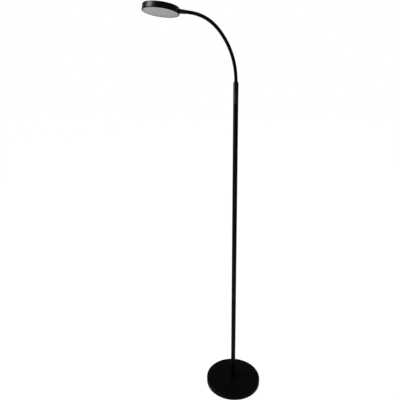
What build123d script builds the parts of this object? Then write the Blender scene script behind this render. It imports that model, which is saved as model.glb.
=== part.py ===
from build123d import *
import math
import os

os.makedirs("parts", exist_ok=True)

# Reading floor lamp: round weighted base, screwed pole, ribbed gooseneck, round LED head.
# Millimetres. Origin on the floor at the pole's axis, +Z up, the neck leans toward -X.

# ---- Weighted base ---------------------------------------------------------------------
base_diameter = 250.0
base_height = 25.0  # floor to the top of the cover
cover_wall = 1.5
cover_edge = 2.2  # eased edge between top and skirt
pad_thickness = 2.0
pad_inset = 4.0  # cover's side to the foam pad's edge
weight_inset = 20.0  # cover's inside to the cast weight
nut_pocket_diameter = 30.0
stud_diameter = 10.0  # hollow threaded stud from the weight into the pole
stud_bore = 6.0
stud_reach = 22.0  # into the pole
stud_nut_flats = 17.0
stud_nut_height = 5.0
stud_tail = 1.0  # thread showing under the nut
gland_width = 9.0
gland_height = 7.0
gland_bore = 4.0
gland_proud = 1.2
gland_lip = 1.0
channel_width = 8.0

# ---- Pole ------------------------------------------------------------------------------
pole_diameter = 20.0
pole_wall = 1.2
pole_section_length = 426.0
pole_names = ("pole_tube_lower", "pole_tube_middle", "pole_tube_upper")
foot_plug_length = 24.0
coupler_length = 44.0

# ---- Sleeve between pole and neck ----------------------------------------------------------
sleeve_diameter = 20.6
sleeve_length = 81.0  # with its cone
sleeve_cone_height = 6.0
sleeve_mouth_wall = 0.8
sleeve_spigot = 20.0
neck_socket_depth = 22.0  # neck hidden in the sleeve
lead_passage = 7.0

# ---- Gooseneck ---------------------------------------------------------------------------
neck_diameter = 13.0
rib_depth = 0.6
rib_pitch = 4.2
rib_sides = 12
neck_bore = 3.6
neck_links = 12  # the first is fixed in the sleeve, the last in the head's ferrule
hinge_gap = 2.8  # between the ends of two links
knuckle_diameter = 4.6
knuckle_width = 6.4
sway_hinges = (3, 6, 9)  # these hinges turn sideways, the others in the neck's plane
root_arc_radius = 300.0
root_arc_length = 69.0
rise_arc_radius = 280.0
rise_arc_length = 138.0
crook_arc_radius = 163.0
crook_arc_length = 104.0
tip_arc_radius = 300.0
tip_arc_length = 27.0

# ---- Lamp head -----------------------------------------------------------------------------
head_diameter = 138.0
head_thickness = 22.0
head_wall = 1.6
head_edge = 1.6  # eased edge between back and side
head_roll = 6.9  # degrees that the head is turned about the neck's end, face toward -Y
ferrule_length = 22.0
ferrule_mouth = 15.0
ferrule_foot = 16.6
ferrule_floor = 4.0  # solid part at the head's wall
ferrule_spigot = 8.0  # threaded, through the head's wall
ferrule_bore = 4.4
head_nut_flats = 12.0
head_nut_height = 2.8
bezel_height = 3.0
bezel_proud = 0.6
bezel_width = 2.8  # black border seen from below
bezel_lip = 0.8
bezel_chamfer = 0.5
diffuser_thickness = 2.0
led_board_margin = 9.2  # outer ring of LEDs to the board's edge
led_board_thickness = 1.6
led_rings = (4, 8, 12)
led_ring_spacing = 15.6
led_length = 3.5
led_width = 2.8
led_height = 0.8
terminal_length = 9.0
terminal_width = 7.0
terminal_inset = 6.0  # board's edge to the terminal
terminal_cover = 0.8  # under the lead
lead_diameter = 2.6
lead_bend = 5.0  # radius where the lead turns up into the pole

# ---- Clearances ------------------------------------------------------------------------
slip_fit = 0.10  # radial, a plug in a tube
thread_fit = 0.05  # radial, between mating threads
hole_play = 0.20  # radial, a shank through a plain hole
knuckle_fit = 0.08  # radial, knuckle in its socket
knuckle_side_play = 0.15
neck_fit = 0.15  # radial, ribs in the sleeve's or ferrule's mouth
saddle_gap = 0.05  # ferrule to the head's round wall
lead_play = 0.50  # radial, lead through the head's terminal
end_play = 0.10  # neck's end to the bottom of its seat

# ---- Sizes that follow -----------------------------------------------------------------
base_radius = base_diameter / 2
cover_bore = base_radius - cover_wall
cover_ceiling = base_height - cover_wall
weight_radius = cover_bore - weight_inset
inlet_height = pad_thickness + gland_height / 2 + gland_lip
stud_radius = stud_diameter / 2
stud_low = inlet_height + lead_bend
stud_nut_low = stud_low + stud_tail
nut_pocket_ceiling = stud_nut_low + stud_nut_height
pole_radius = pole_diameter / 2
pole_bore = pole_radius - pole_wall
plug_radius = pole_bore - slip_fit
pole_top = base_height + len(pole_names) * pole_section_length
sleeve_top = pole_top + sleeve_length
neck_radius = neck_diameter / 2
neck_mouth = neck_radius + neck_fit
neck_arcs = (
    (root_arc_radius, root_arc_length),
    (rise_arc_radius, rise_arc_length),
    (crook_arc_radius, crook_arc_length),
    (tip_arc_radius, tip_arc_length),
)
neck_length = sum(length for _, length in neck_arcs)
hinge_step = (neck_length - hinge_gap) / (neck_links - 2)
root_insert = neck_socket_depth - end_play
tip_insert = ferrule_length - ferrule_floor - end_play
head_radius = head_diameter / 2
head_half = head_thickness / 2
housing_bore = head_radius - head_wall
housing_ceiling = head_half - head_wall
bezel_top = bezel_height - head_half
diffuser_floor = bezel_lip - head_half
opening_radius = head_radius - bezel_width
diffuser_radius = housing_bore - hole_play
board_radius = len(led_rings) * led_ring_spacing + led_board_margin
board_floor = housing_ceiling - led_board_thickness
head_nut_seat = math.sqrt(housing_bore**2 - head_nut_flats**2 / 3)


def turned(outline):
    """Solid turned about Z from (radius, height) points."""
    face = make_face(Polyline(*[(r, 0, z) for r, z in outline], close=True))
    return revolve(face, Axis.Z)


def rod(radius, low, high, bore=0.0):
    """Upright round bar or tube between two heights."""
    bar = Pos(0, 0, (low + high) / 2) * Cylinder(radius, high - low)
    if bore > 0:
        bar -= Pos(0, 0, (low + high) / 2) * Cylinder(bore, high - low + 2)
    return bar


def hex_nut(flats, low, high, bore):
    """Upright hexagon nut with its threaded hole."""
    nut = extrude(RegularPolygon(flats / math.sqrt(3), 6), high - low)
    return Pos(0, 0, low) * nut - rod(bore, low - 1, high + 1)


def save(shape, node):
    export_step(shape, f"parts/{node}.step")


# ---- Base --------------------------------------------------------------------------------
def gland_block(width, height, depth):
    """Block square to the back of the skirt, its middle on the cord inlet's axis."""
    return Pos(0, base_radius, inlet_height) * Box(width, depth, height)


def make_base_cover():
    """Pressed shell: flat top, eased edge, straight skirt, cord hole at the back."""
    outline = [
        (stud_radius + hole_play, cover_ceiling),
        (cover_bore, cover_ceiling),
        (cover_bore, pad_thickness),
        (base_radius, pad_thickness),
        (base_radius, base_height - cover_edge),
        (base_radius - cover_edge, base_height),
        (stud_radius + hole_play, base_height),
    ]
    width = gland_width + 2 * slip_fit
    return turned(outline) - gland_block(width, gland_height + 2 * slip_fit, 6 * cover_wall)


def make_base_weight():
    """Cast disc the full height of the cover, with a nut pocket and a channel for the lead."""
    weight = rod(weight_radius, pad_thickness, cover_ceiling, stud_radius + hole_play)
    weight -= rod(nut_pocket_diameter / 2, pad_thickness - 1, nut_pocket_ceiling)
    channel_top = inlet_height + channel_width / 2
    channel = Pos(0, base_radius / 2, channel_top / 2)
    return weight - channel * Box(channel_width, base_radius, channel_top)


def make_base_pad():
    return rod(base_radius - pad_inset, 0, pad_thickness)


def make_cord_gland():
    """Moulded rubber block in the cord hole, with a lip inside, empty as no cord is shown."""
    block = gland_block(gland_width, gland_height, 2 * (cover_wall + gland_proud))
    lip_back = math.sqrt(cover_bore**2 - (gland_width / 2 + gland_lip) ** 2) - slip_fit
    lip = Pos(0, lip_back - gland_proud / 2, inlet_height)
    size = (gland_width + 2 * gland_lip, gland_proud, gland_height + 2 * gland_lip)
    bore = Pos(0, base_radius, inlet_height) * Rot(90, 0, 0) * Cylinder(gland_bore / 2, 4 * gland_width)
    return block + lip * Box(*size) - bore


def make_base_stud():
    return rod(stud_radius, stud_low, base_height + stud_reach, stud_bore / 2)


def make_stud_nut():
    return hex_nut(stud_nut_flats, stud_nut_low, nut_pocket_ceiling, stud_radius + thread_fit)


# ---- Pole --------------------------------------------------------------------------------
def make_pole_tube(low):
    return rod(pole_radius, low, low + pole_section_length, pole_bore)


def make_pole_plugs():
    """Threaded plugs: one in the pole's foot, one across each joint between tubes."""
    bore = stud_radius + thread_fit
    plugs = [rod(plug_radius, base_height, base_height + foot_plug_length, bore)]
    for joint in range(1, len(pole_names)):
        low = base_height + joint * pole_section_length - coupler_length / 2
        plugs.append(rod(plug_radius, low, low + coupler_length, bore))
    return Compound(plugs)


def make_pole_lead():
    """Lead from the gland, under the stud and up through the pole to the neck's root."""
    top = sleeve_top - neck_socket_depth + 1.0
    low = inlet_height
    route = Polyline((0, cover_bore, low), (0, lead_bend, low), (0, 0, low + lead_bend), (0, 0, top))
    start = Plane(origin=route @ 0, z_dir=(0, -1, 0)) * Circle(lead_diameter / 2)
    return sweep(start, route, transition=Transition.RIGHT)


def make_neck_sleeve():
    """Turned adapter: spigot in the pole, bore for the lead, coned mouth for the neck."""
    outer = sleeve_diameter / 2
    outline = [
        (lead_passage / 2, pole_top - sleeve_spigot),
        (plug_radius, pole_top - sleeve_spigot),
        (plug_radius, pole_top),
        (outer, pole_top),
        (outer, sleeve_top - sleeve_cone_height),
        (neck_mouth + sleeve_mouth_wall, sleeve_top),
        (neck_mouth, sleeve_top),
        (neck_mouth, sleeve_top - neck_socket_depth),
        (lead_passage / 2, sleeve_top - neck_socket_depth),
    ]
    return turned(outline)


# ---- Gooseneck ----------------------------------------------------------------------------
def neck_plane(travel):
    """Plane square to the neck's axis, at a travel along it from the sleeve's top."""
    x, z, lean = 0.0, sleeve_top, 0.0
    left = travel
    for radius, length in neck_arcs:
        run = max(0.0, min(left, length))
        after = lean + run / radius
        x -= radius * (math.cos(lean) - math.cos(after))
        z += radius * (math.sin(after) - math.sin(lean))
        lean = after
        left -= run
    ahead = Vector(-math.sin(lean), 0, math.cos(lean))
    return Plane(origin=Vector(x, 0, z) + ahead * left, x_dir=(0, 1, 0), z_dir=ahead)


def hinge_plane(hinge):
    """The first hinge lies just over the sleeve, the last just short of the ferrule."""
    return neck_plane(hinge_gap / 2 + (hinge - 1) * hinge_step)


def hinge_spot(hinge):
    """Cross axis of a hinge: square to the neck's plane, or in it for a sideways hinge."""
    here = hinge_plane(hinge)
    return here * Rot(90, 0, 0) if hinge in sway_hinges else here * Rot(0, 90, 0)


def ribbed_bar(length):
    """Straight ribbed bar on Z, its flanks flat between one many-sided ring and the next."""
    ribs = round(length / rib_pitch)
    rings = []
    for ring in range(2 * ribs + 1):
        radius = neck_radius if ring % 2 else neck_radius - rib_depth
        level = Pos(0, 0, ring * length / (2 * ribs))
        rings.append((level * RegularPolygon(radius, rib_sides)).vertices())
    faces = [Face(Wire.make_polygon(ring)) for ring in (rings[0], rings[-1])]
    for low, high in zip(rings, rings[1:]):
        for side in range(rib_sides):
            corner = [low[side - 1], low[side], high[side], high[side - 1]]
            faces.append(Face(Wire.make_polygon(corner)))
    return Solid(Shell(faces))


def make_neck_link(link):
    """One short rigid length of the gooseneck: a socket below, a knuckle above, and a bore."""
    low_end, top_end = link == 1, link == neck_links
    first = neck_plane(-root_insert) if low_end else hinge_plane(link - 1)
    last = neck_plane(neck_length + tip_insert) if top_end else hinge_plane(link)
    below = 0.0 if low_end else hinge_gap / 2
    above = 0.0 if top_end else hinge_gap / 2
    ahead = last.origin - first.origin
    along = Plane(origin=first.origin, x_dir=(0, 1, 0), z_dir=ahead)
    body = along * Pos(0, 0, below) * ribbed_bar(ahead.length - below - above)
    if not top_end:
        body += hinge_spot(link) * Cylinder(knuckle_diameter / 2, knuckle_width)
    if not low_end:
        socket = knuckle_diameter / 2 + knuckle_fit
        body -= hinge_spot(link - 1) * Cylinder(socket, knuckle_width + 2 * knuckle_side_play)
    bore = extrude(RegularPolygon(neck_bore / 2, 6), 2 * ahead.length, both=True)
    return body - along * bore


# ---- Lamp head ------------------------------------------------------------------------------
def head_place():
    """The head's middle: X from the neck outward, Z out of its back."""
    end = neck_plane(neck_length + ferrule_length)
    middle = end.origin + end.z_dir * head_radius
    level = Plane(origin=middle, x_dir=end.z_dir, z_dir=Vector(0, 1, 0).cross(end.z_dir))
    return level * Rot(head_roll, 0, 0)


def neck_side(distance):
    """On the neck's axis at a distance from the head's middle, Z toward the neck."""
    return Pos(-distance, 0, 0) * Rot(0, -90, 0)


def make_head_ferrule():
    """Coned collar over the neck's end, with a threaded spigot through the head's wall."""
    spigot_end = -head_wall - head_nut_height - 2.0
    outline = [
        (ferrule_bore / 2, spigot_end),
        (ferrule_spigot / 2, spigot_end),
        (ferrule_spigot / 2, saddle_gap),
        (ferrule_foot / 2, saddle_gap),
        (ferrule_mouth / 2, ferrule_length),
        (neck_mouth, ferrule_length),
        (neck_mouth, ferrule_floor),
        (ferrule_bore / 2, ferrule_floor),
    ]
    return neck_side(head_radius) * turned(outline)


def make_head_nut():
    """Thin nut inside the head, two flats level with its back."""
    nut = hex_nut(head_nut_flats, 0, head_nut_height, ferrule_spigot / 2 + thread_fit)
    return neck_side(head_nut_seat - head_nut_height) * Rot(0, 0, 30) * nut


def make_head_housing():
    """Shallow round can with an eased edge, open below, holed for the ferrule."""
    outline = [
        (0, housing_ceiling),
        (housing_bore, housing_ceiling),
        (housing_bore, diffuser_floor),
        (head_radius, diffuser_floor),
        (head_radius, head_half - head_edge),
        (head_radius - head_edge, head_half),
        (0, head_half),
    ]
    hole = Cylinder(ferrule_spigot / 2 + hole_play, 6 * head_wall)
    return turned(outline) - neck_side(head_radius) * hole


def make_bezel_ring():
    """Cap ring over the housing's rim, slightly proud, its lip under the diffuser."""
    outer = head_radius + bezel_proud
    outline = [
        (opening_radius, -head_half),
        (outer - bezel_chamfer, -head_half),
        (outer, -head_half + bezel_chamfer),
        (outer, bezel_top),
        (head_radius + thread_fit, bezel_top),
        (head_radius + thread_fit, diffuser_floor),
        (opening_radius, diffuser_floor),
    ]
    return turned(outline)


def make_diffuser():
    return rod(diffuser_radius, diffuser_floor, diffuser_floor + diffuser_thickness)


def make_led_board():
    """Aluminium-cored board bonded to the housing's roof, which takes its heat."""
    return rod(board_radius, board_floor, housing_ceiling)


def make_leds():
    """Rings of flat LED packages on the board's lower face."""
    package = Pos(0, 0, board_floor - led_height / 2) * Box(led_length, led_width, led_height)
    leds = []
    for ring, count in enumerate(led_rings, start=1):
        spots = PolarLocations(ring * led_ring_spacing, count, 180 / count)
        leds += [spot * package for spot in spots]
    return Compound(leds)


def make_wire_terminal():
    """Block on the board where the lead from the neck ends."""
    low = -lead_diameter / 2 - lead_play - terminal_cover
    edge = terminal_inset - board_radius
    block = Pos(edge + terminal_length / 2, 0, (low + board_floor) / 2)
    hole = Pos(edge, 0, 0) * Rot(0, 90, 0) * Cylinder(lead_diameter / 2 + lead_play, 8)
    return block * Box(terminal_length, terminal_width, board_floor - low) - hole


def make_head_lead():
    """Lead from the neck's end to the terminal."""
    start = -head_radius - ferrule_floor - 1.0
    end = terminal_inset - board_radius + 3.5
    lead = Pos((start + end) / 2, 0, 0) * Rot(0, 90, 0)
    return lead * Cylinder(lead_diameter / 2, end - start)


base_nodes = {
    "base_pad": make_base_pad,
    "base_weight": make_base_weight,
    "base_cover": make_base_cover,
    "cord_gland": make_cord_gland,
    "base_stud": make_base_stud,
    "stud_nut": make_stud_nut,
    "pole_plugs": make_pole_plugs,
    "pole_lead": make_pole_lead,
    "neck_sleeve": make_neck_sleeve,
}
head_nodes = {
    "head_ferrule": make_head_ferrule,
    "head_nut": make_head_nut,
    "head_housing": make_head_housing,
    "bezel_ring": make_bezel_ring,
    "diffuser": make_diffuser,
    "led_board": make_led_board,
    "leds": make_leds,
    "wire_terminal": make_wire_terminal,
    "head_lead": make_head_lead,
}

for node, make in base_nodes.items():
    save(make(), node)
for section, node in enumerate(pole_names):
    save(make_pole_tube(base_height + section * pole_section_length), node)
for link in range(1, neck_links + 1):
    save(make_neck_link(link), f"neck_link_{link:02d}")
for node, make in head_nodes.items():
    save(head_place() * make(), node)
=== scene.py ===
import math

import bmesh
import bpy
from mathutils import Matrix, Vector


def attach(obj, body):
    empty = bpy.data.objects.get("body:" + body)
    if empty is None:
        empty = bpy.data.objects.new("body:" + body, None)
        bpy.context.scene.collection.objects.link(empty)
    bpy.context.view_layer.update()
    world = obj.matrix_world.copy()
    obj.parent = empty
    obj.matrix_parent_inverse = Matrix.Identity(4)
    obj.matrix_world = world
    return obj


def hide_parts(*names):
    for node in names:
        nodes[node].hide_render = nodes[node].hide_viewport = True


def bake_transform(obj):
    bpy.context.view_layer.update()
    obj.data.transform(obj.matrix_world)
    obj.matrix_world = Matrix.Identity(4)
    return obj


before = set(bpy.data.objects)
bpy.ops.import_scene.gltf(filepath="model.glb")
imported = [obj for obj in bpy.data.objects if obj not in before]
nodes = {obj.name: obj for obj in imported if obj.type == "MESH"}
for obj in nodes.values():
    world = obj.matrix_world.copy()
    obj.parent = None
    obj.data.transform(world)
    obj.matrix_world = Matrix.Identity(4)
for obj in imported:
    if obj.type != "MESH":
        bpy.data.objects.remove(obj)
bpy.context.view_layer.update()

MM = 0.001
weld_distance = 1e-6
sharp_angle = math.radians(32)

# ---- Sizes in millimetres, as the solids have them ---------------------------------------------
base_radius = 125.0
base_height = 25.0
cover_wall = 1.5
pad_thickness = 2.0
stud_hole_radius = 5.2

inlet_width = 9.0
inlet_height = 7.0
inlet_depth = 5.4
inlet_bore_radius = 2.0
inlet_clearance = 0.2
inlet_lift = 1.0
inlet_level = pad_thickness + inlet_height / 2 + inlet_lift

pole_radius = 10.0
pole_wall = 1.2
section_length = 426.0
pole_sections = ("lower", "middle", "upper")

sleeve_length = 81.0
sleeve_radius = 10.3
sleeve_cone = 6.0
sleeve_spigot = 20.0
spigot_clearance = 0.1
sleeve_bore_radius = 3.5

neck_radius = 6.5
neck_clearance = 0.15
neck_seat = 22.0
# Radius and length of each arc of the neck's centre line, from the sleeve on.
neck_arcs = ((300.0, 69.0), (280.0, 138.0), (163.0, 104.0), (300.0, 27.0))
hinge_gap = 2.8
neck_links = 12

ferrule_length = 22.0
ferrule_floor = 4.0
ferrule_mouth_radius = 7.5
ferrule_foot_radius = 8.3
ferrule_foot_band = 2.4
ferrule_spigot_radius = 4.0
ferrule_spigot_reach = 6.4
ferrule_bore_radius = 2.2

head_radius = 69.0
head_thickness = 22.0
head_wall = 1.6
head_roll = 6.9
ferrule_hole_radius = 4.2
bezel_height = 3.0
bezel_proud = 0.6
bezel_width = 2.8
bezel_lip = 0.8
face_clearance = 0.05
opal_thickness = 2.0
opal_clearance = 0.2

sleeve_low = base_height + len(pole_sections) * section_length
neck_low = sleeve_low + sleeve_length
neck_mouth = neck_radius + neck_clearance
neck_length = sum(length for _, length in neck_arcs)


# ---- Node wiring ---------------------------------------------------------------------------------
class Wiring:
    """A material, shader node group or Geometry Nodes tree that is being wired."""

    def __init__(self, tree):
        self.tree = tree

    def feed(self, node, values):
        """Links sockets to a node's inputs, and sets plain values on them."""
        for socket, value in values.items():
            if isinstance(value, bpy.types.NodeSocket):
                self.tree.links.new(value, node.inputs[socket])
            else:
                node.inputs[socket].default_value = value
        return node

    def node(self, kind, values=None, **settings):
        made = self.tree.nodes.new(kind)
        for name, value in settings.items():
            setattr(made, name, value)
        return self.feed(made, values or {})

    def math(self, operation, *values):
        return self.node("ShaderNodeMath", dict(enumerate(values)), operation=operation).outputs[0]

    def add(self, first, second):
        return self.math("ADD", first, second)

    def subtract(self, first, second):
        return self.math("SUBTRACT", first, second)

    def multiply(self, first, second):
        return self.math("MULTIPLY", first, second)

    def vector(self, operation, values):
        return self.node("ShaderNodeVectorMath", values, operation=operation).outputs[0]

    def spread(self, value, seen, wanted=(0.0, 1.0)):
        """A value taken from one range to another, held at its ends."""
        values = dict(enumerate((value, *seen, *wanted)))
        return self.node("ShaderNodeMapRange", values).outputs[0]

    def mix(self, factor, low, high):
        """A colour between two, each a socket or plain red, green and blue."""
        values = {0: factor}
        for socket, colour in ((6, low), (7, high)):
            linked = isinstance(colour, bpy.types.NodeSocket)
            values[socket] = colour if linked else (*colour, 1)
        return self.node("ShaderNodeMix", values, data_type="RGBA").outputs[2]

    def place(self):
        """Where on the object, in metres."""
        return self.node("ShaderNodeTexCoord").outputs["Object"]

    def attribute(self, name):
        return self.node("ShaderNodeAttribute", attribute_name=name).outputs["Fac"]

    def facing(self, axis):
        """How far the surface faces along an axis."""
        normal = self.node("ShaderNodeNewGeometry").outputs["Normal"]
        return self.node("ShaderNodeSeparateXYZ", {0: normal}).outputs[axis]

    def noise(self, place, scale, detail):
        values = {"Vector": place, "Scale": scale, "Detail": detail}
        return self.node("ShaderNodeTexNoise", values).outputs[0]

    def bump(self, strength, distance, height, under=None):
        """A normal from heights, over another normal where one is given."""
        values = {"Strength": strength, "Distance": distance, "Height": height}
        if under is not None:
            values["Normal"] = under
        return self.node("ShaderNodeBump", values).outputs[0]

    def effect(self, shared, values):
        """A shared effect with this material's own values."""
        return self.node("ShaderNodeGroup", values, node_tree=shared).outputs

    def captured(self, geometry, kind, label, value):
        """Geometry whose points carry a value along under a label."""
        made = self.node("GeometryNodeCaptureAttribute", {"Geometry": geometry}, domain="POINT")
        made.capture_items.new(kind, label)
        return self.feed(made, {label: value}).outputs


def shared_effect(name, inputs, outputs):
    """An empty shader node group with named inputs and outputs."""
    tree = bpy.data.node_groups.new(name, "ShaderNodeTree")
    for label, value in inputs.items():
        socket = tree.interface.new_socket(label, in_out="INPUT", socket_type="NodeSocketFloat")
        socket.default_value = value
    for label, kind in outputs.items():
        tree.interface.new_socket(label, in_out="OUTPUT", socket_type=kind)
    wire = Wiring(tree)
    return wire, wire.node("NodeGroupInput").outputs, wire.node("NodeGroupOutput")


def orange_peel_effect():
    """Sprayed paint: a fine pebbled skin over a slower ripple."""
    wire, given, wanted = shared_effect(
        "orange_peel",
        {"Grain": 900.0, "Depth": 0.1, "Gloss": 0.4, "Spread": 0.05},
        {"Roughness": "NodeSocketFloat", "Normal": "NodeSocketVector", "Cloud": "NodeSocketFloat"},
    )
    ripple_per_grain = 0.22
    ripple_height = 1.4
    pebble_height = 0.0002
    place = wire.place()
    fine = wire.noise(place, given["Grain"], detail=2.0)
    ripple = wire.noise(place, wire.multiply(given["Grain"], ripple_per_grain), detail=1.0)
    height = wire.add(fine, wire.multiply(ripple, ripple_height))
    cloud = wire.noise(place, scale=23.0, detail=4.0)
    swing = wire.multiply(wire.subtract(cloud, 0.5), given["Spread"])
    wire.feed(wanted, {
        "Roughness": wire.add(given["Gloss"], wire.multiply(swing, 2.0)),
        "Normal": wire.bump(given["Depth"], pebble_height, height),
        "Cloud": cloud,
    })
    return wire.tree


def handling_effect():
    """Rubbed edges and settled dust, from the piece's edge attribute and its upward faces."""
    wire, given, wanted = shared_effect(
        "handling",
        {"Rub": 0.5, "Dust": 0.1},
        {"Edge": "NodeSocketFloat", "Dust": "NodeSocketFloat"},
    )
    place = wire.place()
    worn = wire.spread(wire.noise(place, scale=160.0, detail=5.0), (0.45, 0.7))
    rubbed = wire.multiply(wire.attribute("edge"), worn)
    level = wire.spread(wire.facing("Z"), (0.6, 1.0))
    specks = wire.spread(wire.noise(place, scale=420.0, detail=6.0), (0.5, 0.75))
    wire.feed(wanted, {
        "Edge": wire.multiply(rubbed, given["Rub"]),
        "Dust": wire.multiply(wire.multiply(level, specks), given["Dust"]),
    })
    return wire.tree


def turning_effect():
    """Faint rings left by the lathe, from the piece's own distance along its axis."""
    wire, given, wanted = shared_effect(
        "turning",
        {"Lines": 3000.0, "Cut": 0.5},
        {"Line": "NodeSocketFloat", "Height": "NodeSocketFloat"},
    )
    values = {"W": wire.multiply(wire.attribute("along"), given["Lines"]), "Scale": 1.0, "Detail": 3.0}
    ring = wire.node("ShaderNodeTexNoise", values, noise_dimensions="1D").outputs[0]
    line = wire.spread(ring, (0.3, 0.7))
    wire.feed(wanted, {"Line": line, "Height": wire.multiply(line, given["Cut"])})
    return wire.tree


orange_peel = orange_peel_effect()
handling = handling_effect()
turning = turning_effect()


# ---- Materials -----------------------------------------------------------------------------------
def material(name):
    made = bpy.data.materials.new(name)
    made.use_nodes = True
    return made, Wiring(made.node_tree), made.node_tree.nodes["Principled BSDF"]


def tinted(colour, gain, lift=0.0):
    return [channel * gain + lift for channel in colour]


def painted(name, colour, gloss, specular, grain, depth, dust):
    """Sprayed or powder-coated metal, and smooth moulded plastic."""
    made, wire, bsdf = material(name)
    skin = wire.effect(orange_peel, {"Grain": grain, "Depth": depth, "Gloss": gloss})
    use = wire.effect(handling, {"Rub": 0.5, "Dust": dust})
    dust_colour = (0.06, 0.058, 0.055)
    dust_dulls = 0.4
    clean = wire.mix(skin["Cloud"], colour, tinted(colour, 1.25))
    rubbed = wire.mix(use["Edge"], clean, tinted(colour, 2.2, 0.004))
    wire.feed(bsdf, {
        "Base Color": wire.mix(use["Dust"], rubbed, dust_colour),
        "Roughness": wire.add(skin["Roughness"], wire.multiply(use["Dust"], dust_dulls)),
        "Normal": skin["Normal"],
        "Specular IOR Level": specular,
    })
    return made


def anodised(name, colour, gloss, specular, lines, rub):
    """Turned aluminium, black anodised: lathe rings under the dye, edges rubbed a little."""
    made, wire, bsdf = material(name)
    skin = wire.effect(orange_peel, {"Grain": 2400.0, "Depth": 0.03, "Gloss": gloss})
    rings = wire.effect(turning, {"Lines": lines})
    use = wire.effect(handling, {"Rub": rub, "Dust": 0.0})
    ring_swing = 0.08
    dyed = wire.mix(rings["Line"], tinted(colour, 0.8), tinted(colour, 1.3))
    swing = wire.multiply(wire.subtract(rings["Line"], 0.5), ring_swing)
    wire.feed(bsdf, {
        "Base Color": wire.mix(use["Edge"], dyed, tinted(colour, 4.0, 0.006)),
        "Roughness": wire.add(skin["Roughness"], swing),
        "Normal": wire.bump(0.25, 0.0001, rings["Height"], under=skin["Normal"]),
        "Specular IOR Level": specular,
    })
    return made


def wound_wire(name, colour, gloss, specular):
    """Painted wire of the neck: painted shade darkens the grooves, which are also duller; smoother and
    lighter where hands rub the crowns.
    """
    made, wire, bsdf = material(name)
    skin = wire.effect(orange_peel, {"Grain": 1600.0, "Depth": 0.05, "Gloss": gloss})
    groove_dulls = 0.3
    hands_smooth = 0.06
    # How far down in a groove a point lies: it darkens the colour there as painted shade, and dulls the
    # paint.
    groove_shade_and_dulling = wire.spread(wire.attribute("groove"), (0.1, 0.6))
    gripped = wire.spread(wire.noise(wire.place(), scale=60.0, detail=5.0), (0.45, 0.65))
    crown = wire.multiply(wire.subtract(1.0, groove_shade_and_dulling), gripped)
    worn = wire.mix(wire.multiply(crown, 0.4), colour, tinted(colour, 3.0, 0.003))
    dull = wire.subtract(wire.multiply(groove_shade_and_dulling, groove_dulls), wire.multiply(crown, hands_smooth))
    wire.feed(bsdf, {
        # Painted shade: the base colour is halved down in the grooves between the turns.
        "Base Color": wire.mix(groove_shade_and_dulling, worn, tinted(colour, 0.5)),
        "Roughness": wire.add(skin["Roughness"], dull),
        "Normal": skin["Normal"],
        "Specular IOR Level": specular,
    })
    return made


def grained(name, colour, other, scale, rough, metallic=0.0, depth=0.3, height=0.0003, stretch=(1, 1, 1)):
    """Unpainted stuff: cast, cut, moulded or foamed, with its own grain."""
    made, wire, bsdf = material(name)
    place = wire.node("ShaderNodeMapping", {"Vector": wire.place(), "Scale": stretch}).outputs[0]
    grain = wire.noise(place, scale, detail=5.0)
    wire.feed(bsdf, {
        "Base Color": wire.mix(grain, colour, other),
        "Roughness": wire.spread(grain, (0.3, 0.7), (rough * 0.85, rough * 1.15)),
        "Normal": wire.bump(depth, height, grain),
        "Metallic": metallic,
    })
    return made


def led_material():
    """White package with a yellow phosphor window on its lower face."""
    made, wire, bsdf = material("led_package")
    window = wire.spread(wire.facing("Z"), (-0.7, -0.9))
    grain = wire.noise(wire.place(), scale=1800.0, detail=3.0)
    phosphor = wire.mix(grain, (0.74, 0.56, 0.1), (0.82, 0.64, 0.15))
    wire.feed(bsdf, {
        "Base Color": wire.mix(window, (0.8, 0.8, 0.78), phosphor),
        "Roughness": wire.spread(grain, (0.3, 0.7), (0.3, 0.42)),
    })
    return made


def opal_material():
    """Milky acrylic, unlit: light scattered just under a smooth skin."""
    made, wire, bsdf = material("opal_acrylic")
    place = wire.place()
    cloud = wire.noise(place, scale=16.0, detail=3.0)
    fine = wire.noise(place, scale=1400.0, detail=2.0)
    scatter = 0.003
    wire.feed(bsdf, {
        "Base Color": wire.mix(cloud, (0.5, 0.5, 0.49), (0.54, 0.54, 0.53)),
        "Roughness": wire.spread(fine, (0.3, 0.7), (0.34, 0.42)),
        "Normal": wire.bump(0.05, 0.0001, fine),
        "Specular IOR Level": 0.35,
        "Subsurface Weight": 0.25,
        "Subsurface Radius": (scatter, scatter, scatter),
    })
    return made


black = (0.0012, 0.0012, 0.0013)
dyed_black = (0.0014, 0.0014, 0.0015)
cover_paint = painted("satin_black_cover", black, gloss=0.42, specular=0.05,
                      grain=700.0, depth=0.5, dust=0.01)
pole_paint = painted("satin_black_pole", black, gloss=0.35, specular=0.11,
                     grain=1100.0, depth=0.3, dust=0.0)
head_paint = painted("satin_black_head", black, gloss=0.36, specular=0.3,
                     grain=1100.0, depth=0.3, dust=0.01)
bezel_finish = painted("black_bezel", black, gloss=0.3, specular=0.06,
                       grain=1500.0, depth=0.1, dust=0.0)
sleeve_finish = anodised("black_anodised_sleeve", dyed_black, gloss=0.24, specular=0.34,
                         lines=2600.0, rub=0.5)
neck_finish = wound_wire("satin_black_neck", black, gloss=0.38, specular=0.06)
steel = grained("turned_steel", (0.5, 0.5, 0.51), (0.62, 0.62, 0.63), scale=900.0, rough=0.32,
                metallic=1.0, depth=0.1, height=0.0001, stretch=(1, 1, 8))
cast_iron = grained("cast_iron", (0.05, 0.05, 0.052), (0.11, 0.105, 0.1), scale=260.0, rough=0.75,
                    metallic=0.6, depth=0.6, height=0.0006)
foam = grained("foam_pad", (0.008, 0.008, 0.008), (0.03, 0.03, 0.03), scale=1300.0, rough=0.95,
               depth=0.8, height=0.0006)
rubber = grained("moulded_rubber", (0.012, 0.012, 0.012), (0.02, 0.02, 0.02), scale=700.0, rough=0.7)
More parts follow.
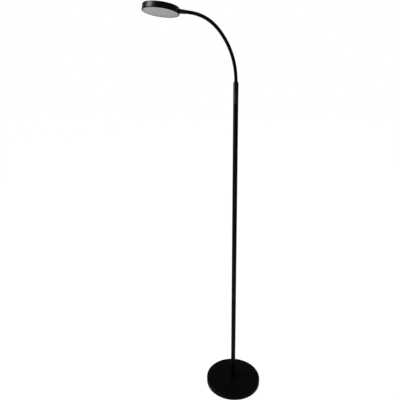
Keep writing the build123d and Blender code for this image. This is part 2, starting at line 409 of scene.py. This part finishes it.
jacket = grained("lead_jacket", (0.01, 0.01, 0.01), (0.016, 0.016, 0.016), scale=500.0, rough=0.55)
board_finish = grained("white_board", (0.74, 0.74, 0.72), (0.8, 0.8, 0.78), scale=300.0, rough=0.5)
terminal_finish = grained("terminal_plastic", (0.7, 0.7, 0.68), (0.78, 0.78, 0.76), scale=400.0, rough=0.5)
led_finish = led_material()
opal = opal_material()


# ---- Making pieces -------------------------------------------------------------------------------
def at(x, y, z):
    return Matrix.Translation(Vector((x, y, z)) * MM)


def new_object(name, data):
    made = bpy.data.objects.new(name, data)
    bpy.context.collection.objects.link(made)
    return made


def eased(outline, steps):
    """(radius, height, fillet) corners to points, each fillet an arc; the last value marks the arc."""
    points = []
    count = len(outline)
    for i, (r, z, fillet) in enumerate(outline):
        here = Vector((r, z))
        if fillet <= 0:
            points.append((r, z, 0.0))
            continue
        before = (Vector(outline[i - 1][:2]) - here).normalized()
        after = (Vector(outline[(i + 1) % count][:2]) - here).normalized()
        half_corner = before.angle(after) / 2
        reach = fillet / math.tan(half_corner)
        centre = here + (before + after).normalized() * fillet / math.sin(half_corner)
        start = here + before * reach - centre
        end = here + after * reach - centre
        turn = start.angle_signed(end)
        for k in range(steps + 1):
            spoke = start.copy()
            spoke.rotate(Matrix.Rotation(-turn * k / steps, 2))
            points.append((*(centre + spoke), 1.0 if 0 < k < steps else 0.0))
    return points


def turned(name, outline, place=None, *, sides, steps=5):
    """Closed piece turned about Z from eased corners in millimetres, then put in its place."""
    mesh = bpy.data.meshes.new(name)
    work = bmesh.new()
    edge = work.verts.layers.float.new("edge")
    along = work.verts.layers.float.new("along")
    angles = [2 * math.pi * k / sides for k in range(sides)]
    rings = []
    for r, z, mark in eased(outline, steps):
        if r < 1e-6:
            ring = [work.verts.new((0, 0, z * MM))]
        else:
            ring = [work.verts.new((r * MM * math.cos(a), r * MM * math.sin(a), z * MM)) for a in angles]
        for vert in ring:
            vert[edge] = mark
            vert[along] = z * MM
        rings.append(ring)
    for low, high in zip(rings, rings[1:] + rings[:1]):
        if len(low) == 1 and len(high) == 1:
            continue
        for k in range(sides):
            n = (k + 1) % sides
            corners = [low[k % len(low)], low[n % len(low)], high[n % len(high)], high[k % len(high)]]
            work.faces.new(list(dict.fromkeys(corners)))
    bmesh.ops.recalc_face_normals(work, faces=work.faces)
    work.to_mesh(mesh)
    work.free()
    mesh.shade_smooth()
    mesh.set_sharp_from_angle(angle=sharp_angle)
    if place is not None:
        mesh.transform(place)
    return new_object(name, mesh)


def rod(name, radius, low, high, place, sides):
    """Plain cylinder, to cut a hole with."""
    outline = [(0, low, 0), (radius, low, 0), (radius, high, 0), (0, high, 0)]
    return turned(name, outline, place, sides=sides)


def box(name, size, place, round_by=0.0):
    """Block in millimetres, its edges rounded where asked."""
    mesh = bpy.data.meshes.new(name)
    work = bmesh.new()
    bmesh.ops.create_cube(work, size=1.0)
    bmesh.ops.scale(work, vec=Vector(size) * MM, verts=work.verts)
    if round_by:
        edges = work.edges[:]
        bmesh.ops.bevel(work, geom=edges, offset=round_by * MM, segments=3, profile=0.5, affect="EDGES")
    work.to_mesh(mesh)
    work.free()
    mesh.transform(place)
    return new_object(name, mesh)


def shown_mesh(piece):
    """The piece's mesh with its modifiers worked in."""
    shown = piece.evaluated_get(bpy.context.evaluated_depsgraph_get())
    return bpy.data.meshes.new_from_object(shown)


def cut(piece, cutter):
    """Takes the cutter out of the piece for good, and merges the doubled points that this leaves."""
    tool = piece.modifiers.new("hole", "BOOLEAN")
    tool.object = cutter
    tool.operation = "DIFFERENCE"
    tool.solver = "EXACT"
    holed = shown_mesh(piece)
    piece.modifiers.clear()
    piece.data = holed
    bpy.data.objects.remove(cutter)
    work = bmesh.new()
    work.from_mesh(piece.data)
    bmesh.ops.remove_doubles(work, verts=work.verts, dist=weld_distance)
    work.to_mesh(piece.data)
    work.free()


def give_finish(piece, finish):
    piece.data.materials.clear()
    piece.data.materials.append(finish)


def hand_over(piece, finish, slot, body, *replaced):
    """Gives a piece its finish and the body that carries it, and hides the solids it replaces; slot is not
    used.
    """
    give_finish(piece, finish)
    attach(piece, body)
    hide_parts(*replaced)


# ---- Base ----------------------------------------------------------------------------------------
def make_base_shell():
    """Pressed cover: flat top, rolled edge, straight skirt, and the hole for the cord inlet."""
    inner_radius = base_radius - cover_wall
    inner_height = base_height - cover_wall
    cutter_depth = 12.0
    shell = turned("base_shell", [
        (stud_hole_radius, base_height, 0.3),
        (base_radius, base_height, 2.6),
        (base_radius, pad_thickness, 0.4),
        (inner_radius, pad_thickness, 0.4),
        (inner_radius, inner_height, 1.2),
        (stud_hole_radius, inner_height, 0.3),
    ], sides=192, steps=7)
    hole = (inlet_width + inlet_clearance, cutter_depth, inlet_height + inlet_clearance)
    cut(shell, box("inlet_cutter", hole, at(0, base_radius, inlet_level)))
    shell.data.set_sharp_from_angle(angle=sharp_angle)
    hand_over(shell, cover_paint, "black_cover", "stand", "base_cover")


def make_inlet_gland():
    """Moulded rubber gland in the cover's back, with its empty bore."""
    place = at(0, base_radius, inlet_level)
    gland = box("inlet_gland", (inlet_width, inlet_depth, inlet_height), place, round_by=0.7)
    through = place @ Matrix.Rotation(math.pi / 2, 4, "X")
    cut(gland, rod("gland_bore", inlet_bore_radius, low=-12, high=12, place=through, sides=32))
    gland.data.shade_smooth()
    gland.data.set_sharp_from_angle(angle=math.radians(35))
    hand_over(gland, rubber, "rubber", "stand", "cord_gland")


# ---- Pole and sleeve -----------------------------------------------------------------------------
def make_pole():
    """Three tubes, their ends eased so that each joint shows as a hairline."""
    for section, name in enumerate(pole_sections):
        low = base_height + section * section_length
        high = low + section_length
        tube = turned(f"pole_{name}", [
            (pole_radius, low, 0.35),
            (pole_radius, high, 0.35),
            (pole_radius - pole_wall, high, 0.2),
            (pole_radius - pole_wall, low, 0.2),
        ], sides=96, steps=4)
        hand_over(tube, pole_paint, "black_pole", "stand", f"pole_tube_{name}")


def make_sleeve():
    """Turned sleeve with a coned mouth."""
    spigot = pole_radius - pole_wall - spigot_clearance
    mouth_rim = 0.8
    sleeve = turned("neck_sleeve_turned", [
        (sleeve_bore_radius, sleeve_low - sleeve_spigot, 0.2),
        (spigot, sleeve_low - sleeve_spigot, 0.3),
        (spigot, sleeve_low, 0),
        (sleeve_radius, sleeve_low, 0.35),
        (sleeve_radius, neck_low - sleeve_cone, 1.6),
        (neck_mouth + mouth_rim, neck_low, 0.25),
        (neck_mouth, neck_low, 0.2),
        (neck_mouth, neck_low - neck_seat, 0),
        (sleeve_bore_radius, neck_low - neck_seat, 0),
    ], sides=96)
    hand_over(sleeve, sleeve_finish, "black_sleeve", "stand", "neck_sleeve")


# ---- Gooseneck -----------------------------------------------------------------------------------
# The wound ribs are finer than the ribs of the solids.
rib_pitch = 2.2
rib_depth = 0.5
rib_roundness = 0.96
rings_per_rib = 8
skin_sides = 32
# Added to the screw's turns, so that they are above zero all along the neck.
whole_turns = 50.0
# The skin stops short of the seat in the sleeve and of the ferrule's floor by these.
root_gap = 2.0
tip_gap = 1.0
# End skins: how far their bends reach past the first and last hinge, and into sleeve and ferrule; the bend
# ends are worked out but no skin is bent.
bend_reach = 5
end_hold = 0.2


def neck_point(travel):
    """A point of the neck's centre line and the way ahead there, at a travel from the sleeve's top."""
    x, z, lean, left = 0.0, neck_low, 0.0, travel
    for radius, length in neck_arcs:
        run = max(0.0, min(left, length))
        after = lean + run / radius
        x -= radius * (math.cos(lean) - math.cos(after))
        z += radius * (math.sin(after) - math.sin(lean))
        lean, left = after, left - run
    ahead = Vector((-math.sin(lean), 0, math.cos(lean)))
    return (Vector((x, 0, z)) + ahead * left) * MM, ahead


def neck_line(low, high, step=1.0):
    """The neck's centre line between two travels, as a curve object."""
    curve = bpy.data.curves.new("neck_line", "CURVE")
    curve.dimensions = "3D"
    count = int((high - low) / step) + 1
    spline = curve.splines.new("POLY")
    spline.points.add(count - 1)
    for k in range(count):
        point, _ = neck_point(low + k * step)
        spline.points[k].co = (*point, 1)
    return new_object("neck_line", curve)


def rib_crown(wire, run, turn, pitch):
    """Height of the wound ribs along a screw of the pitch: 1 on a crown, 0.2 down in a groove."""
    screw = wire.subtract(wire.math("DIVIDE", run, pitch), turn)
    phase = wire.math("FRACT", wire.add(screw, whole_turns))
    off = wire.multiply(wire.subtract(phase, 0.5), 2.0)
    return wire.math("SQRT", wire.subtract(1.0, wire.multiply(wire.multiply(off, off), rib_roundness)))


def ribbed_neck_tree(finish):
    """Wound neck along a centre line: a screw-shaped row of round ribs between two travels."""
    tree = bpy.data.node_groups.new("wound_neck", "GeometryNodeTree")
    face = tree.interface
    face.new_socket("Geometry", in_out="INPUT", socket_type="NodeSocketGeometry")
    for label in ("Start", "End", "Neck Radius", "Rib Pitch", "Rib Depth"):
        face.new_socket(label, in_out="INPUT", socket_type="NodeSocketFloat")
    for label in ("Rings", "Sides"):
        face.new_socket(label, in_out="INPUT", socket_type="NodeSocketInt")
    face.new_socket("Geometry", in_out="OUTPUT", socket_type="NodeSocketGeometry")

    wire = Wiring(tree)
    given = wire.node("NodeGroupInput").outputs
    length = wire.node("GeometryNodeSplineParameter").outputs["Length"]
    line = wire.captured(given["Geometry"], "FLOAT", "Run", length)
    span = {0: line["Geometry"], 4: given["Start"], 5: given["End"]}
    part = wire.node("GeometryNodeTrimCurve", span, mode="LENGTH").outputs[0]
    dense = wire.node("GeometryNodeResampleCurve", {"Curve": part, "Count": given["Rings"]}).outputs[0]
    sideways = {"Curve": dense, "Normal": (0, 1, 0)}
    level = wire.node("GeometryNodeSetCurveNormal", sideways, mode="FREE").outputs[0]
    centre = wire.captured(level, "VECTOR", "Centre", wire.node("GeometryNodeInputPosition").outputs[0])

    circle = {"Resolution": given["Sides"], "Radius": given["Neck Radius"]}
    ring = wire.node("GeometryNodeCurvePrimitiveCircle", circle).outputs[0]
    around = wire.node("GeometryNodeSplineParameter").outputs["Factor"]
    turn = wire.captured(ring, "FLOAT", "Turn", around)
    sweep = {"Curve": centre["Geometry"], "Profile Curve": turn["Geometry"], "Fill Caps": True}
    tube = wire.node("GeometryNodeCurveToMesh", sweep).outputs[0]

    crown = rib_crown(wire, line["Run"], turn["Turn"], given["Rib Pitch"])
    hollow = wire.subtract(1.0, crown)
    place = wire.node("GeometryNodeInputPosition").outputs[0]
    inward = wire.vector("NORMALIZE", {0: wire.vector("SUBTRACT", {0: centre["Centre"], 1: place})})
    sink = wire.vector("SCALE", {0: inward, "Scale": wire.multiply(hollow, given["Rib Depth"])})
    shaped = wire.node("GeometryNodeSetPosition", {"Geometry": tube, "Offset": sink}).outputs[0]
    stored = {"Geometry": shaped, "Name": "groove"}
    groove = wire.node("GeometryNodeStoreNamedAttribute", stored, data_type="FLOAT", domain="POINT")
    wire.feed(groove, {"Value": hollow})
    smooth = wire.node("GeometryNodeSetShadeSmooth", {"Geometry": groove.outputs[0]}).outputs[0]
    real = wire.node("GeometryNodeRealizeInstances", {"Geometry": smooth}).outputs[0]
    coated = wire.node("GeometryNodeSetMaterial", {"Geometry": real, "Material": finish}).outputs[0]
    wire.feed(wire.node("NodeGroupOutput"), {0: coated})
    return tree


def neck_skin(name, tree, low, high, start, end):
    """The stretch of wound skin between two travels of the line from low to high."""
    line = neck_line(low, high)
    maker = line.modifiers.new("wound", "NODES")
    maker.node_group = tree
    sizes = {
        "Start": (start - low) * MM, "End": (end - low) * MM,
        "Neck Radius": neck_radius * MM, "Rib Pitch": rib_pitch * MM, "Rib Depth": rib_depth * MM,
        "Rings": int(round((end - start) / rib_pitch * rings_per_rib)), "Sides": skin_sides,
    }
    for socket in tree.interface.items_tree:
        if socket.in_out == "INPUT" and socket.name in sizes:
            maker[socket.identifier] = sizes[socket.name]
    mesh = shown_mesh(line)
    bpy.data.objects.remove(line)
    return new_object(name, mesh)


def make_neck():
    """One wound skin across each hinge, from the middle of one link to the middle of the next."""
    tree = ribbed_neck_tree(neck_finish)
    low = root_gap - neck_seat
    high = neck_length + ferrule_length - ferrule_floor - tip_gap
    step = (neck_length - hinge_gap) / (neck_links - 2)
    hinges = [hinge_gap / 2 + k * step for k in range(neck_links - 1)]
    ends = [low] + [(a + b) / 2 for a, b in zip(hinges, hinges[1:])] + [high]
    bends = list(zip(ends, ends[1:]))
    bends[0] = (-end_hold, hinges[0] + bend_reach)
    bends[-1] = (hinges[-1] - bend_reach, neck_length + end_hold)
    for k, bend in enumerate(bends):
        skin = neck_skin(f"neck_skin_{k + 1:02d}", tree, low, high, ends[k], ends[k + 1])
        start, end = (neck_point(travel)[0] for travel in bend)
        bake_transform(skin)
        last = k == len(bends) - 1
        links = (k + 1, k + 2) if last else (k + 1,)
        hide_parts(*[f"neck_link_{link:02d}" for link in links])


# ---- Lamp head -----------------------------------------------------------------------------------
def head_place():
    """The head's middle: X from the neck outward, Z out of its back."""
    end, ahead = neck_point(neck_length + ferrule_length)
    middle = end + ahead * head_radius * MM
    side = Vector((0, 1, 0))
    up = side.cross(ahead)
    across = Matrix((ahead, up.cross(ahead), up)).transposed().to_4x4()
    return Matrix.Translation(middle) @ across @ Matrix.Rotation(math.radians(head_roll), 4, "X")


head = head_place()
to_rim = Matrix.Translation((-head_radius * MM, 0, 0))
toward_neck = head @ to_rim @ Matrix.Rotation(-math.pi / 2, 4, "Y")
head_back = head_thickness / 2
lip_top = bezel_lip - head_back
inner_rim = head_radius - head_wall
opal_radius = inner_rim - opal_clearance


def make_ferrule():
    """Coned collar where the neck meets the head."""
    ferrule = turned("head_ferrule_turned", [
        (ferrule_bore_radius, -ferrule_spigot_reach, 0.2),
        (ferrule_spigot_radius, -ferrule_spigot_reach, 0.4),
        (ferrule_spigot_radius, face_clearance, 0),
        (ferrule_foot_radius, face_clearance, 0.3),
        (ferrule_foot_radius, ferrule_foot_band, 0.5),
        (ferrule_mouth_radius, ferrule_length, 0.5),
        (neck_mouth, ferrule_length, 0.15),
        (neck_mouth, ferrule_floor, 0),
        (ferrule_bore_radius, ferrule_floor, 0),
    ], toward_neck, sides=64)
    hand_over(ferrule, sleeve_finish, "black_sleeve", "lamp_head", "head_ferrule")


def make_housing():
    """Shallow can with a rolled edge, open below, holed for the ferrule."""
    can = turned("head_can", [
        (0, head_back, 0),
        (head_radius, head_back, 2.2),
        (head_radius, lip_top, 0.2),
        (inner_rim, lip_top, 0.2),
        (inner_rim, head_back - head_wall, 1.0),
        (0, head_back - head_wall, 0),
    ], head, sides=160, steps=7)
    cut(can, rod("drill", ferrule_hole_radius, low=-12, high=8, place=toward_neck, sides=48))
    can.data.set_sharp_from_angle(angle=sharp_angle)
    hand_over(can, head_paint, "black_head", "lamp_head", "head_housing")


def make_bezel():
    """Ring round the lower rim, slightly proud, its lip under the diffuser."""
    front = -head_back
    outer = head_radius + bezel_proud
    round_can = head_radius + face_clearance
    ring = turned("bezel", [
        (head_radius - bezel_width, front, 0.3),
        (outer, front, 0.9),
        (outer, bezel_height - head_back, 0.3),
        (round_can, bezel_height - head_back, 0),
        (round_can, lip_top, 0),
        (head_radius - bezel_width, lip_top, 0.3),
    ], head, sides=160)
    hand_over(ring, bezel_finish, "black_bezel", "lamp_head", "bezel_ring")


def make_opal():
    """Opal disc behind the ring."""
    disc = turned("opal_disc", [
        (0, lip_top, 0),
        (opal_radius, lip_top, 0.3),
        (opal_radius, lip_top + opal_thickness, 0.3),
        (0, lip_top + opal_thickness, 0),
    ], head, sides=128, steps=3)
    hand_over(disc, opal, "opal", "lamp_head", "diffuser")


# ---- Floor, light and camera, in metres ----------------------------------------------------------
def make_floor():
    """Pale floor that shows white to the camera but keeps the lamp's soft shadow."""
    shadowed = (0.16, 0.16, 0.16)
    pale = (0.6, 0.6, 0.6)
    glow = 0.913
    bpy.ops.mesh.primitive_plane_add(size=24)
    floor = bpy.context.object
    floor.name = "studio_floor"
    made, wire, bsdf = material("studio_floor")
    seen = wire.node("ShaderNodeLightPath").outputs["Is Camera Ray"]
    colour = wire.mix(seen, pale, shadowed)
    wire.feed(bsdf, {"Base Color": colour, "Roughness": 0.9, "Specular IOR Level": 0.0})
    lit = wire.node("ShaderNodeEmission", {"Color": (1, 1, 1, 1), "Strength": wire.multiply(seen, glow)})
    both = wire.node("ShaderNodeAddShader", {0: bsdf.outputs[0], 1: lit.outputs[0]})
    wire.feed(made.node_tree.nodes["Material Output"], {"Surface": both.outputs[0]})
    floor.data.materials.append(made)


def make_world():
    """White backdrop behind the lamp; what the paint mirrors of the room in front of it is dim."""
    dim = 0.05
    fill_strength = 0.55
    world = bpy.data.worlds.new("studio")
    world.use_nodes = True
    bpy.context.scene.world = world
    wire = Wiring(world.node_tree)
    seen = wire.node("ShaderNodeLightPath").outputs
    direction = wire.node("ShaderNodeTexCoord").outputs["Generated"]
    toward = wire.node("ShaderNodeSeparateXYZ", {0: direction}).outputs
    backdrop = wire.spread(toward["Y"], (0.4, 0.85), (dim, 1.0))
    below_ceiling = wire.spread(toward["Z"], (0.15, 0.45), (1.0, dim))
    mirrored = wire.multiply(wire.multiply(backdrop, below_ceiling), seen["Is Glossy Ray"])
    plain = wire.math("MAXIMUM", seen["Is Camera Ray"], seen["Is Transmission Ray"])
    fill = wire.multiply(seen["Is Diffuse Ray"], fill_strength)
    strength = wire.math("MAXIMUM", wire.math("MAXIMUM", plain, mirrored), fill)
    wire.feed(world.node_tree.nodes["Background"], {"Color": (1, 1, 1, 1), "Strength": strength})


def soft_light(name, place, aim, width, height, power):
    lamp = bpy.data.lights.new(name, "AREA")
    lamp.shape = "RECTANGLE"
    lamp.size = width
    lamp.size_y = height
    lamp.energy = power
    made = new_object(name, lamp)
    made.location = place
    made.rotation_euler = (Vector(aim) - Vector(place)).to_track_quat("-Z", "Y").to_euler()


def make_camera():
    """In front of the pole, turned a little to its left, looking down."""
    place = (0, -1.587, 1.416)
    to_left = math.radians(5.2)
    down = math.radians(17.56)
    roll = math.radians(-1.0)
    lens = bpy.data.cameras.new("photo_view")
    lens.lens = 36.045
    lens.sensor_width = 36.0
    camera = new_object("photo_view", lens)
    tipped = Matrix.Rotation(math.pi / 2 - down, 4, "X")
    look = Matrix.Rotation(to_left, 4, "Z") @ tipped @ Matrix.Rotation(roll, 4, "Z")
    camera.matrix_world = Matrix.Translation(place) @ look
    bpy.context.scene.camera = camera


# ---- The whole lamp ------------------------------------------------------------------------------
kept_solids = {
    "base_pad": foam, "base_weight": cast_iron, "base_stud": steel, "stud_nut": steel,
    "pole_plugs": steel, "pole_lead": jacket, "head_nut": steel, "led_board": board_finish,
    "leds": led_finish, "wire_terminal": terminal_finish, "head_lead": jacket,
}
for node, finish in kept_solids.items():
    give_finish(nodes[node], finish)

make_base_shell()
make_inlet_gland()
make_pole()
make_sleeve()
make_neck()
make_ferrule()
make_housing()
make_bezel()
make_opal()

make_floor()
make_world()
soft_light("key_strip", place=(-1.82, -0.75, 2.35), aim=(-0.28, 0, 1.64), width=0.75, height=0.6, power=30)
soft_light("side_panel", place=(-1.58, -0.32, 1.12), aim=(0, 0, 1.15), width=1.1, height=0.6, power=9)
soft_light("overhead", place=(0.3, 0.2, 3.4), aim=(0, 0, 0), width=1.6, height=1.6, power=14)
make_camera()
bpy.context.scene.view_settings.view_transform = "Standard"
